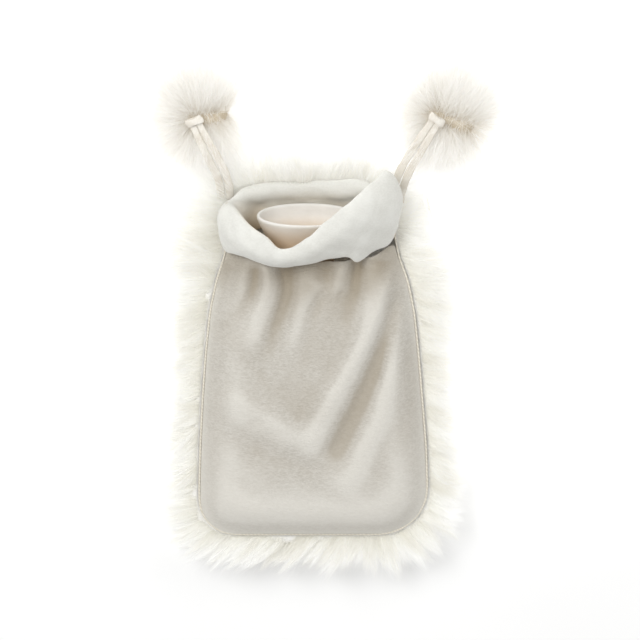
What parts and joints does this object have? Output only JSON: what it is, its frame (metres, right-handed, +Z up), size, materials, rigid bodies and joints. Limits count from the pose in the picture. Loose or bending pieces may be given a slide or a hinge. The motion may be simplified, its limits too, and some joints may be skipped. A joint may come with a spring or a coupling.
{
  "type": "hot water bottle cover with hot water bottle",
  "caption": "Fur-backed fleece cover lying on its back round a flat rubber hot water bottle, with a turned-down cuff at the neck and fur pompoms on ties.",
  "frame": {"origin": "centre of the underside of the cover without its ties, on the surface it lies on", "axes": "+Y from the closed end to the neck, +Z up out of the fleece front, +X to the right with the neck pointing away"},
  "size_m": [0.3515, 0.5363, 0.1002],
  "materials": {
    "fleece": "matte",
    "lining": "matte",
    "fur": "soft long pile",
    "rubber": "satin",
    "suede": "matte"
  },
  "bodies": {
    "root": {"back_panel": "fur", "front_panel": "fleece", "cuff": "lining", "bottle": "rubber", "tie_left_inner": "suede", "tie_left_outer": "suede", "tie_right_inner": "suede", "tie_right_outer": "suede", "knot_left": "suede", "knot_right": "suede", "pompom_left": "fur", "pompom_right": "fur"}
  },
  "joints": []
}
